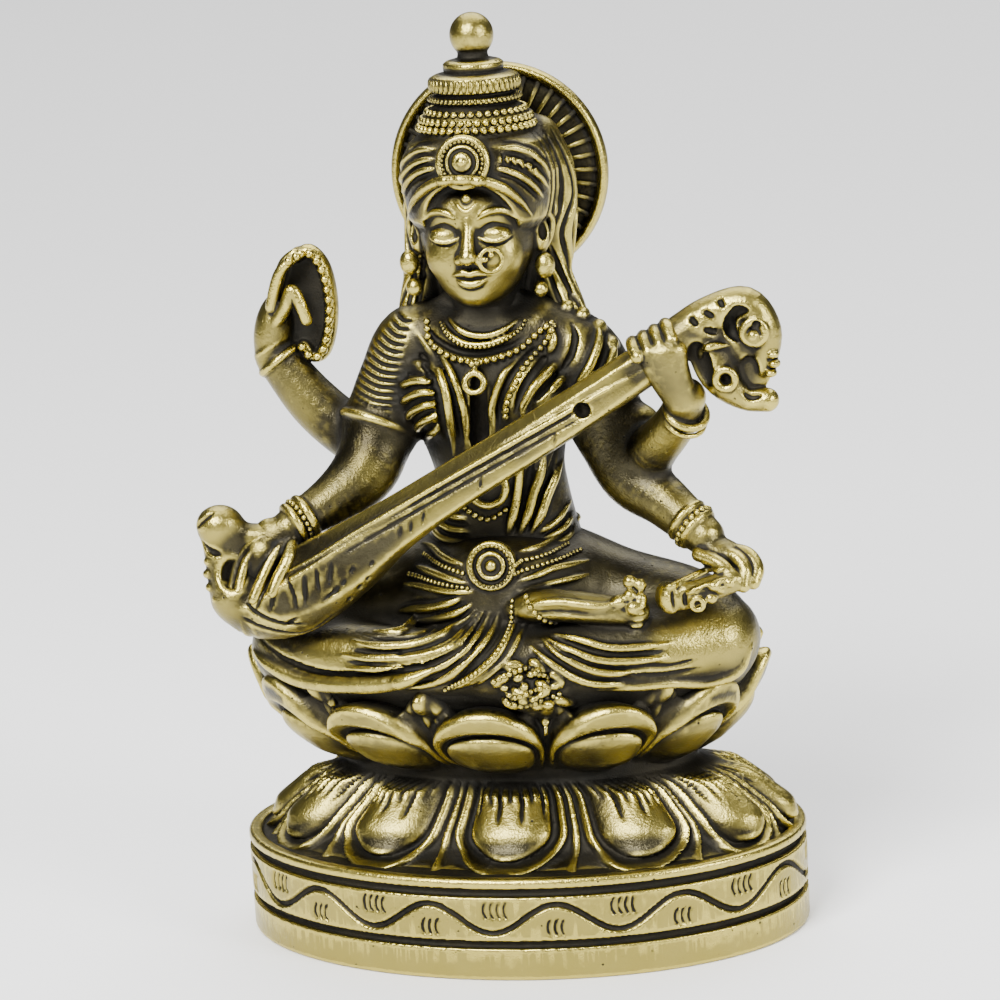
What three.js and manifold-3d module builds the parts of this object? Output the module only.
// A four-armed goddess seated on a double lotus with her veena, cast in brass in one piece with an oval plinth.
// Millimetres, +Z up. The figure faces -Y, and the origin is the centre of the plinth's underside.
import * as THREE from "three";
import { mergeVertices } from "three/addons/utils/BufferGeometryUtils.js";
import Module from "manifold-3d";

const wasm = await Module();
wasm.setup();

// Plinth: an oval drum with a turned groove under its top edge and another above its foot band.
const plinthWidth = 63.4;
const plinthDepth = 42;
const plinthHeight = 11.5;
const plinthChamfer = 0.8;
const plinthSides = 32;
const grooveWidth = 1;
const grooveDepth = 0.5;
const upperGrooveDrop = 1.5;
const footBandHeight = 4.1;

// Lotus: two rows of petals on a waisted spool, the lower row turned down and the upper row turned up.
const petalCount = 12;
const lowerLotusWidth = 56.5;
const lowerLotusDepth = 27;
const lowerLotusHeight = 6.2;
const waistWidth = 39.6;
const waistDepth = 18.5;
const upperLotusWidth = 57;
const upperLotusDepth = 32;
const upperLotusHeight = 10.8;
const lotusSink = 0.6;
const lotusSides = 24;
const petalSides = 8;

// Figure: its pose is laid out on a grid of so many squares to its height, from the top of the lotus.
const figureHeight = 74;
const gridSquares = 74;
const square = figureHeight / gridSquares;
const waistHeight = plinthHeight + lowerLotusHeight;
const seatHeight = waistHeight + upperLotusHeight;

// Carved relief: ridges of cloth and cords stand half out of the surface.
const foldWidth = 1.6;
const cordWidth = 1.2;
const haloRays = 20;

const brass = new THREE.MeshStandardMaterial({
  color: 0xb09a58,
  metalness: 1,
  roughness: 0.35,
});

// A point of the pose grid, in the part's frame.
function at(x, y, z) {
  return new THREE.Vector3(x, y, z)
    .multiplyScalar(square)
    .add(new THREE.Vector3(0, 0, seatHeight));
}

// A closed geometry as a solid.
function solid(geometry) {
  const bare = new THREE.BufferGeometry();
  bare.setAttribute("position", geometry.getAttribute("position"));
  bare.setIndex(geometry.getIndex());
  const merged = mergeVertices(bare, 1e-4);
  const made = new wasm.Manifold(
    new wasm.Mesh({
      numProp: 3,
      vertProperties: new Float32Array(merged.attributes.position.array),
      triVerts: new Uint32Array(merged.index.array),
    }),
  );
  if (made.volume() <= 0) throw new Error("a solid is empty or inside out");
  return made;
}

const join = (solids) => wasm.Manifold.union(solids);

// The outer shell of a body that hangs together: what it closes in is metal.
function filled(body) {
  const outer = body.decompose().filter((shell) => shell.volume() > 0);
  if (outer.length !== 1) throw new Error(`the casting falls into ${outer.length} pieces`);
  return outer[0];
}

// A solid as a geometry that three.js can draw and that rays can hit.
function geometryOf(body) {
  const { numProp, numVert, vertProperties, triVerts } = body.getMesh();
  const position = new Float32Array(numVert * 3);
  for (let i = 0; i < numVert; i++) {
    position.set(vertProperties.subarray(i * numProp, i * numProp + 3), i * 3);
  }
  return new THREE.BufferGeometry()
    .setAttribute("position", new THREE.BufferAttribute(position, 3))
    .setIndex(new THREE.BufferAttribute(triVerts, 1));
}

// An upright oval body whose levels, from the bottom up, each have a height, a width and a depth.
function ovalStack(levels, sides) {
  const rows = levels.length - 1;
  const geometry = new THREE.CylinderGeometry(1, 1, rows, sides, rows);
  geometry.rotateX(Math.PI / 2);
  const position = geometry.getAttribute("position");
  for (let i = 0; i < position.count; i++) {
    const level = levels[Math.round(position.getZ(i) + rows / 2)];
    position.setXYZ(
      i,
      (position.getX(i) * level.wide) / 2,
      (position.getY(i) * level.deep) / 2,
      level.z,
    );
  }
  return solid(geometry);
}

// A round body turned from pairs of radius and height, set upright at its centre or facing another way.
function turned(profile, centre, sides, axis = [0, 0, 1]) {
  const geometry = new THREE.LatheGeometry(
    profile.map(([radius, height]) => new THREE.Vector2(radius * square, height * square)),
    sides,
  );
  const turn = new THREE.Quaternion().setFromUnitVectors(
    new THREE.Vector3(0, 1, 0),
    new THREE.Vector3(...axis).normalize(),
  );
  geometry.applyQuaternion(turn);
  geometry.translate(centre.x, centre.y, centre.z);
  return solid(geometry);
}

// An egg-shaped body with its three radii, turned about X, then Y, then Z, in degrees.
function ball(centre, radii, { turn = [0, 0, 0], sides = 6, rings = 4 } = {}) {
  const geometry = new THREE.SphereGeometry(1, sides, rings);
  geometry.rotateX(Math.PI / 2);
  geometry.scale(...radii.map((radius) => radius * square));
  geometry.applyMatrix4(
    new THREE.Matrix4().makeRotationFromEuler(
      new THREE.Euler(...turn.map(THREE.MathUtils.degToRad), "XYZ"),
    ),
  );
  geometry.translate(centre.x, centre.y, centre.z);
  return solid(geometry);
}

// A rounded bar along a smooth line through its stations, [point, width, thickness], with round ends.
// Its thickness is measured the way that `face` looks, and `swell` makes ribs along it.
function bar(stations, { sides = 8, steps = 2 * stations.length, face = [0, -1, 0], swell } = {}) {
  const last = stations.length - 1;
  const spine = new THREE.CatmullRomCurve3(stations.map(([point]) => point));
  const front = new THREE.Vector3(...face);
  const sizeAt = (share, which) => {
    const index = Math.min(Math.floor(share * last), last - 1);
    const mix = THREE.MathUtils.smoothstep(share * last - index, 0, 1);
    return THREE.MathUtils.lerp(stations[index][which], stations[index + 1][which], mix);
  };
  const geometry = new THREE.SphereGeometry(1, sides, steps + 2);
  const position = geometry.getAttribute("position");
  const point = new THREE.Vector3();
  for (let i = 0; i < position.count; i++) {
    const row = Math.floor(i / (sides + 1));
    const angle = ((i % (sides + 1)) / sides) * 2 * Math.PI;
    const share = THREE.MathUtils.clamp((row - 1) / steps, 0, 1);
    const along = spine.getTangent(share);
    const out = front.clone().addScaledVector(along, -front.dot(along)).normalize();
    const aside = out.clone().cross(along);
    const ribs = swell ? 1 + swell(share) : 1;
    const wide = (sizeAt(share, 1) * square * ribs) / 2;
    const thick = (sizeAt(share, 2) * square * ribs) / 2;
    point.copy(spine.getPoint(share));
    if (row === 0) point.addScaledVector(along, -0.5 * Math.min(wide, thick));
    else if (row === steps + 2) point.addScaledVector(along, 0.5 * Math.min(wide, thick));
    else {
      point.addScaledVector(aside, -Math.cos(angle) * wide);
      point.addScaledVector(out, Math.sin(angle) * thick);
    }
    position.setXYZ(i, point.x, point.y, point.z);
  }
  return solid(geometry);
}

// A bar of even roundness; the last width holds for the points that follow it.
function rod(points, widths, options) {
  return bar(
    points.map((point, i) => [point, widths[i] ?? widths.at(-1), widths[i] ?? widths.at(-1)]),
    options,
  );
}

function plinth() {
  const level = (z, inset = 0) => ({
    z,
    wide: plinthWidth - 2 * inset,
    deep: plinthDepth - 2 * inset,
  });
  const groove = (z) => [
    level(z - grooveWidth / 2),
    level(z, grooveDepth),
    level(z + grooveWidth / 2),
  ];
  return ovalStack(
    [
      level(0),
      ...groove(footBandHeight),
      ...groove(plinthHeight - upperGrooveDrop),
      level(plinthHeight - plinthChamfer),
      level(plinthHeight, plinthChamfer),
    ],
    plinthSides,
  );
}

// The spool that carries the petals: from the plinth it narrows to the waist and opens as a bowl to the seat.
function lotusSpool() {
  const foot = (rise, share) => ({
    z: plinthHeight + rise * lowerLotusHeight,
    wide: THREE.MathUtils.lerp(waistWidth, lowerLotusWidth, share),
    deep: THREE.MathUtils.lerp(waistDepth, lowerLotusDepth, share),
  });
  const bowl = (rise, share) => ({
    z: waistHeight + rise * upperLotusHeight,
    wide: THREE.MathUtils.lerp(waistWidth, upperLotusWidth, share),
    deep: THREE.MathUtils.lerp(waistDepth, upperLotusDepth, share),
  });
  return ovalStack(
    [
      foot(-lotusSink / lowerLotusHeight, 1),
      foot(0.4, 0.8),
      foot(0.9, 0.12),
      bowl(0.06, 0),
      bowl(0.3, 0.46),
      bowl(0.62, 0.8),
      bowl(1, 1),
    ],
    lotusSides,
  );
}

// Profiles of the petals from the root outwards: a plain shield, and a mound inside a rolled rim.
const shieldProfile = [[0, -1], [1, 0], [0.72, 0.7], [0, 1]];
const rimmedProfile = [[0, -1], [1, 0], [0.82, 0.75], [0.62, 0.45], [0, 1.2]];

// One petal on an oval of the spool, leaning out by `lean` degrees. Its width fills a share of its place.
function petal(index, profile, { wide, deep, z, fill, thick, tall, lean }) {
  const step = (2 * Math.PI) / petalCount;
  const angle = index * step - Math.PI / 2;
  const outward = new THREE.Vector2(Math.cos(angle) / wide, Math.sin(angle) / deep);
  const place = (step * Math.hypot(Math.sin(angle) * wide, Math.cos(angle) * deep)) / 2;
  const outline = profile.map(([radius, height]) => new THREE.Vector2(radius, height));
  const geometry = new THREE.LatheGeometry(outline, petalSides);
  geometry.rotateX(Math.PI);
  geometry.scale((fill * place) / 2, thick, tall / 2);
  geometry.rotateX(THREE.MathUtils.degToRad(lean));
  geometry.rotateZ(Math.atan2(outward.y, outward.x) + Math.PI / 2);
  geometry.translate((Math.cos(angle) * wide) / 2, (Math.sin(angle) * deep) / 2, z);
  return solid(geometry);
}

function lotusPetals() {
  const lower = {
    wide: THREE.MathUtils.lerp(waistWidth, lowerLotusWidth, 0.66),
    deep: THREE.MathUtils.lerp(waistDepth, lowerLotusDepth, 0.66),
    z: plinthHeight + 0.42 * lowerLotusHeight,
    fill: 0.9,
    thick: 2.1,
    tall: 1.5 * lowerLotusHeight,
    lean: -44,
  };
  const upper = {
    wide: THREE.MathUtils.lerp(waistWidth, upperLotusWidth, 0.64),
    deep: THREE.MathUtils.lerp(waistDepth, upperLotusDepth, 0.72),
    z: waistHeight + 0.56 * upperLotusHeight,
    fill: 0.97,
    thick: 1.5,
    tall: 0.88 * upperLotusHeight,
    lean: 31,
  };
  const made = [];
  for (let i = 0; i < petalCount; i++) {
    made.push(petal(i, shieldProfile, lower), petal(i, rimmedProfile, upper));
  }
  return made;
}

function torso() {
  return [
    bar(
      [
        [at(-0.2, 1, 3), 28, 18],
        [at(-0.2, 1, 11), 20, 15.4],
        [at(-0.5, 0.6, 20.5), 14.6, 11.4],
        [at(-0.7, 0.6, 27), 15.4, 12],
        [at(-0.8, 0.4, 33), 18.6, 12.4],
        [at(-0.9, 0.6, 37.5), 20, 10.6],
        [at(-1, 0.4, 41.4), 10, 8],
      ],
      { sides: 10, steps: 7 },
    ),
    rod([at(-1, 0, 39.6), at(-1, -0.8, 45)], [8.4, 7.6], { steps: 1 }),
    ball(at(-5.6, -4, 33), [4.4, 3.4, 4.2], { sides: 8 }),
    ball(at(4.2, -4, 33.2), [4.2, 3.4, 4.2], { sides: 8 }),
    ball(at(0.4, -5.6, 11.6), [9, 6, 6.4], { sides: 8 }),
  ];
}

function legs() {
  return [
    ball(at(-0.4, -2.4, 2.2), [27.4, 12.6, 4.6], { sides: 12, rings: 5 }),
    rod([at(-5, 1, 9), at(-14.5, -1, 8.4), at(-22, -3.6, 5.8), at(-27, -4, 4)], [14.5, 12, 10, 8], { steps: 4 }),
    rod([at(5, 1, 9.6), at(14, -0.5, 7.6), at(21.5, -2.6, 5.6), at(27.4, -3, 3.8)], [13.4, 12.4, 11, 8], { steps: 4 }),
    rod([at(-23, -7.4, 4), at(-12, -11.2, 4), at(0, -12.4, 4.6)], [9, 9, 7], { sides: 7, steps: 3 }),
    rod([at(24, -6.4, 4.2), at(14, -9.8, 4.4), at(3, -11.4, 3.8)], [9.2, 9.8, 7], { sides: 7, steps: 3 }),
  ];
}

// The bare foot that lies on the other leg, sole up, with its toes in a row and an anklet.
function foot() {
  const toes = [0, 1, 2].map((i) =>
    ball(at(17.6 - 0.2 * i, -11.6 + 0.3 * i, 9.6 + 1.2 * i), [1.3, 0.9, 0.8], { sides: 4, rings: 3 }),
  );
  return [
    bar(
      [
        [at(2, -10, 10.6), 4.6, 5],
        [at(8, -11, 10.8), 3.8, 4.4],
        [at(14, -11, 10.2), 4, 3.8],
        [at(17, -10.6, 10), 4.4, 3.2],
      ],
      { sides: 7, steps: 4 },
    ),
    ...toes,
  ];
}

// A swelling of a limb at a share of its length, where a bangle goes round it.
const bangle = (place, amount = 0.34) => (share) => (Math.abs(share - place) < 0.07 ? amount : 0);

function arms() {
  const ribs = (share) => 0.045 * Math.cos(share * 2 * Math.PI * 4.5);
  return [
    rod([at(-6.4, 1, 40), at(-10, 0.8, 37.8), at(-11, 0, 34), at(-13.4, -1.2, 29.2)], [4, 8.4, 9, 8.8], { sides: 8, steps: 9, swell: ribs }),
    rod([at(6.4, 1, 39), at(9.8, 0.8, 35.5), at(12, 0, 29)], [7, 9, 7.4], { steps: 4 }),
    rod([at(-13.2, -1.6, 29.4), at(-14.5, -4, 24.8), at(-17.5, -7, 22.2), at(-22, -10.2, 19.8)], [8, 7.6, 5.4, 4], { sides: 7, steps: 8, swell: bangle(0.88) }),
    rod([at(-14.2, 0.2, 26), at(-17, 1, 27.8), at(-20.5, 1, 31), at(-25.2, 1, 37.8)], [6, 5.4, 5, 4], { sides: 7, steps: 8, swell: bangle(0.88) }),
    rod([at(13, 0, 28), at(16.2, -1.6, 25), at(18.9, -5.4, 28), at(21.9, -10.2, 34)], [7, 5.8, 4.8, 4], { sides: 7, steps: 8, swell: bangle(0.88) }),
    rod([at(12.2, 0.2, 28), at(15.2, -2, 22.6), at(18.6, -4, 19.8), at(23.2, -6.2, 16.8)], [6.8, 6.6, 5.8, 4], { sides: 7, steps: 8, swell: bangle(0.88, 0.3) }),
  ];
}

// Four fingers from a line of knuckles: each runs from its knuckle by `reach` to its tip, past a joint moved by `bend`.
function fingers(knuckle, across, reach, bend) {
  const width = 0.85 * Math.hypot(...across);
  return [-1.5, -0.5, 0.5, 1.5].map((place) => {
    const root = knuckle.map((value, k) => value + place * across[k]);
    const joint = root.map((value, k) => value + reach[k] / 2 + bend[k]);
    const tip = root.map((value, k) => value + reach[k]);
    return rod([at(...root), at(...joint), at(...tip)], [width, width, 0.8 * width], { sides: 4, steps: 2 });
  });
}

function hands() {
  return [
    // Plucking hand, laid over the veena's bowl.
    ball(at(-23.4, -11, 18.9), [2.9, 2, 2.6], { turn: [0, 30, 0] }),
    ...fingers([-25, -12, 17.8], [0.9, -0.2, -0.6], [-1.6, -2.4, -5], [-1.2, -0.8, 0.6]),
    rod([at(-22, -11.4, 18.4), at(-21.4, -13.6, 16.4), at(-22, -14.6, 14.6)], [2, 1.7, 1.4], { sides: 4, steps: 2 }),
    // Raised hand, which holds the string of prayer beads.
    ball(at(-25.8, 1, 40.4), [2.1, 2.6, 4.2], { turn: [0, 8, 0] }),
    ...fingers([-25.4, 0.9, 42.4], [0.1, 0.8, 0], [2.6, 0, 6], [-0.6, 0, 0.4]),
    rod([at(-24.6, -1, 41.6), at(-22.9, -1.6, 44.2), at(-21.5, -1.4, 41.4)], [2, 1.6, 1.4], { sides: 4, steps: 2 }),
    bar(
      [
        [at(-21.6, 1.4, 47.8), 3, 2.4],
        [at(-20.6, 1.4, 43), 6.2, 2.6],
        [at(-21.4, 1.4, 37.4), 4.4, 2.4],
      ],
      { sides: 6, steps: 3 },
    ),
    // Hand that grips the veena's neck from the front, its fingers bent over the top.
    ball(at(21, -12, 36.6), [2.5, 1.9, 4.6], { turn: [-14, -14, 0], rings: 5 }),
    ...[-1.5, -0.5, 0.5, 1.5].map((place) =>
      ball(at(19.7 + 1.15 * place, -11, 40.4 + 0.55 * place), [0.8, 2.2, 1.5], { turn: [-20, 30, 0], sides: 5 }),
    ),
    // Hand at the knee, laid on the book.
    ball(at(24.4, -7, 16), [2.7, 2.2, 1.7], { turn: [0, 20, 0] }),
    ...fingers([25.7, -8, 15.3], [-0.8, -0.6, 0.1], [2.2, -1.8, -2.4], [1.2, -0.2, 0.8]),
  ];
}

// The palm-leaf book under the hand at the knee.
function book() {
  return bar(
    [
      [at(18.6, -11.6, 11.6), 3.6, 2.6],
      [at(23, -10.6, 12), 3.6, 3],
      [at(27, -9, 12.6), 3, 2.8],
    ],
    { sides: 4, steps: 2, face: [0, -1, 0.4] },
  );
}

function head() {
  const lid = (side) => ball(at(-0.7 + side * 3.2, -5.9, 51.7), [1.8, 1, 0.8]);
  const brow = (side) =>
    rod(
      [at(-0.7 + side * 1.2, -6.5, 53), at(-0.7 + side * 3.2, -6.1, 53.8), at(-0.7 + side * 5.2, -4.5, 53.2)],
      [0.9],
      { sides: 4, steps: 2 },
    );
  return [
    ball(at(-0.8, -0.8, 50.8), [6.6, 6.3, 7], { sides: 12, rings: 8 }),
    ball(at(-0.8, -2.2, 47.4), [5.1, 4.5, 4.5], { sides: 8, rings: 6 }),
    bar(
      [
        [at(-0.8, -6.5, 53), 1.2, 1],
        [at(-0.8, -8.1, 48.8), 2.5, 1.8],
      ],
      { sides: 5, steps: 2 },
    ),
    lid(-1),
    lid(1),
    brow(-1),
    brow(1),
    ball(at(-0.8, -6.7, 46.7), [1.7, 0.9, 0.45], { rings: 3 }),
    ball(at(-0.8, -6.6, 45.9), [1.3, 0.9, 0.5], { rings: 3 }),
  ];
}

// Ears with their drops, and the hair behind them down to the shoulders and the back.
function hairAndEars() {
  const ear = (side) => [
    ball(at(-0.8 + side * 7, 0, 50), [1, 1.7, 2.4], { rings: 3 }),
    ball(at(-0.9 + side * 7.4, -1, 47), [1.3, 1.2, 1.4]),
  ];
  return [
    ...ear(-1),
    ...ear(1),
    rod([at(5, 2.6, 54), at(5.6, 3, 48), at(6.8, 2.8, 44), at(8, 1.8, 40)], [4.4, 4.6, 4.6, 3.6], { sides: 6, steps: 3 }),
    rod([at(-6.4, 3.4, 54), at(-7.2, 3, 47), at(-8, 1.6, 42), at(-9, 0.8, 39)], [4, 4.4, 4.2, 4], { sides: 6, steps: 3 }),
    bar(
      [
        [at(-0.8, 4, 55), 12, 8],
        [at(-0.8, 4.6, 46), 13, 7],
        [at(-0.8, 4.6, 36), 14, 6],
        [at(-0.8, 5.4, 25), 4, 4],
      ],
      { sides: 6, steps: 4, face: [0, 1, 0] },
    ),
  ];
}

// The tall crown: a swelling cap, a beaded mound, two rings and the ball on top.
function crown() {
  return [
    turned(
      [
        [0, 54.6],
        [8.7, 55],
        [8.9, 56.6],
        [8.4, 58.8],
        [7.4, 60.6],
        [6.1, 61.2],
        [5.6, 63.4],
        [3.9, 64.8],
        [4.8, 65.4],
        [4.8, 67.2],
        [3.2, 67.7],
        [3.2, 68.8],
        [1.9, gridSquares - 4.5],
        [2.6, gridSquares - 2.8],
        [2.2, gridSquares - 0.9],
        [0, gridSquares],
      ],
      at(-0.7, 0.4, 0),
      12,
    ),
    turned([[0, -1], [3, -0.8], [3, 0.4], [1.9, 0.4], [1.3, 1], [0, 1.2]], at(-0.7, -7.6, 59), 10, [0, -1, 0.15]),
  ];
}

// The halo: a disc with a raised rim and rays that stand out towards it.
function halo() {
  const radius = 12.1;
  const sides = 2 * haloRays;
  const rayReach = radius - 1.6;
  const disc = new THREE.LatheGeometry(
    [
      [0, 0],
      [radius, 0.2],
      [radius, 1.6],
      [radius - 1.1, 1.9],
      [rayReach, 1],
      [0, 1],
    ].map(([x, y]) => new THREE.Vector2(x * square, y * square)),
    sides,
  );
  const position = disc.getAttribute("position");
  const rayHeight = 0.8 * square;
  for (let i = 0; i < position.count; i++) {
    const reach = Math.hypot(position.getX(i), position.getZ(i)) / square;
    const turn = Math.round((Math.atan2(position.getZ(i), position.getX(i)) / (2 * Math.PI)) * sides);
    const onRay = Math.abs(reach - rayReach) < 0.01 && turn % 2 === 0;
    if (onRay) position.setY(i, position.getY(i) + rayHeight);
  }
  disc.rotateX(Math.PI);
  const centre = at(-0.4, 10, 55.7);
  disc.translate(centre.x, centre.y, centre.z);
  return [solid(disc), ball(at(-0.8, 5.5, 56), [5, 4.6, 5])];
}

// The veena: a bowl that narrows into a long neck, a bird at its foot and a scrolled beast's head at its top.
function veena() {
  return [
    bar(
      [
        [at(-29.4, -12, 11.8), 6.2, 4],
        [at(-26.4, -12.4, 11.8), 9, 5.6],
        [at(-21.6, -12.6, 13), 10.6, 6.4],
        [at(-15.6, -12.6, 16.2), 8.6, 6],
        [at(-10, -12.4, 20.2), 6, 5.2],
        [at(-3, -12.2, 24.6), 4.8, 4.6],
        [at(7, -11.6, 30.4), 4.4, 4],
        [at(17, -10.6, 36.4), 4.4, 3.8],
        [at(22.5, -9.4, 40), 4.6, 4],
      ],
      { steps: 9, face: [0.2, -1, -0.25] },
    ),
    // Bird at the foot.
    rod([at(-28.2, -12, 11), at(-29.2, -11.4, 16), at(-29.8, -11, 20)], [7, 5, 4.6], { sides: 6, steps: 3 }),
    ball(at(-30, -11, 20.7), [2.4, 2, 1.8], { rings: 5 }),
    rod([at(-31, -11.2, 21), at(-32.2, -11.4, 19.8)], [1.6, 0.9], { sides: 4, steps: 1 }),
    // Scrolled head at the top.
    rod(
      [at(21.4, -9.6, 39.6), at(25, -9.2, 42), at(29, -9, 43.2), at(31, -9, 40.4), at(30.4, -9, 36.2)],
      [4.4, 4.2, 3.6, 3.4, 2.6],
      { sides: 6, steps: 8 },
    ),
    turned([[0, -2], [2.1, -1.6], [2.1, 1], [0.9, 0.8], [0, 2]], at(29.2, -9.8, 40), 8, [0, -1, 0]),
    rod([at(24.4, -9, 40.6), at(26, -9, 36), at(30.6, -9, 32.8)], [4.6, 4.4, 2.8], { sides: 6, steps: 4 }),
  ];
}

// Lays a path of [x, z] grid points, seen from the front, onto a body, as points of its surface.
function draped(surface, path, count) {
  const line = new THREE.SplineCurve(path.map(([x, z]) => new THREE.Vector2(x, z)));
  const looking = new THREE.Vector3(0, 1, 0);
  const points = [];
  for (let i = 0; i <= count; i++) {
    const { x, y } = line.getPoint(i / count);
    const [hit] = new THREE.Raycaster(at(x, -40, y), looking).intersectObject(surface);
    if (hit) points.push(hit.point);
  }
  return points;
}

// A ridge of cloth or cord along such a path, thinner at its ends.
function ridge(surface, path, width, count = 4) {
  const points = draped(surface, path, count);
  return rod(
    points,
    points.map((_, i) => (i === 0 || i === points.length - 1 ? 0.5 * width : width)),
    { sides: 4, steps: count },
  );
}

// The folds of the skirt fan out from the knot under the belt and run along both legs.
function skirtFolds(surface) {
  const right = [
    [[-3, 12.8], [-8, 9.4], [-15, 9.2]],
    [[-2, 11.8], [-7.4, 6.4], [-18, 6.2]],
    [[-1, 11.4], [-4.6, 4.4], [-14, 3.2], [-24, 5]],
    [[0.2, 11.2], [-2.6, 3.8], [-9, 1.2], [-19, 1.4]],
    [[1.6, 11.2], [0.4, 5.2], [-4, 1.6]],
  ];
  const left = [
    [[5.4, 7], [9.5, 5], [16, 5.2]],
    [[4.6, 5.6], [9, 3], [19, 3]],
    [[4, 4.2], [9, 0.9], [20, 0.9]],
  ];
  return [...right, ...left].map((path) => ridge(surface, path, foldWidth));
}

// The belt's round clasp and the fall of beads on the lotus.
function belt() {
  return [
    turned(
      [[0, -2], [3.4, -1.6], [3.4, 0.5], [2.2, 0], [1.4, 0.9], [0, 1.3]],
      at(0.8, -11.2, 15.8),
      10,
      [0, -1, 0],
    ),
    bar(
      [
        [at(1.4, -12.6, 4.6), 3, 3.4],
        [at(1.6, -14.2, 2.4), 9, 3.4],
        [at(1.6, -15, 0.2), 12, 2.6],
      ],
      { sides: 6, steps: 3 },
    ),
  ];
}

// The necklace and its pendant, the borders of the shawl and the garland.
function chestRelief(surface) {
  const cords = [
    [[-7, 40.6], [-1, 37.2], [5, 40.6]],
    [[-9, 40], [-5.4, 33.4], [-4.4, 25]],
    [[-5.8, 38], [-3, 32.6], [-2.6, 26.4]],
    [[4.8, 38.4], [2.2, 34], [1.4, 30.6]],
    [[7.4, 40], [4.8, 35.4], [3.8, 31.4]],
    [[-2.2, 22.4], [0.4, 20], [3.4, 23.6]],
  ];
  return [
    ...cords.map((path) => ridge(surface, path, cordWidth, 3)),
    turned([[0, -1], [1.3, -0.9], [1.3, 0.6], [0, 0.6]], at(-0.4, -6.2, 35.6), 6, [0, -1, 0]),
  ];
}

const body = join([...torso(), ...legs(), ...arms()]);
const surface = new THREE.Mesh(geometryOf(body), brass);
const casting = join([
  plinth(),
  lotusSpool(),
  ...lotusPetals(),
  body,
  ...foot(),
  ...hands(),
  book(),
  ...head(),
  ...hairAndEars(),
  ...crown(),
  ...halo(),
  ...veena(),
  ...skirtFolds(surface),
  ...belt(),
  ...chestRelief(surface),
]);

const figure = new THREE.Mesh(geometryOf(filled(casting)), brass);
figure.name = "saraswati_figure";

const saraswati = new THREE.Group();
saraswati.add(figure);
export default saraswati;
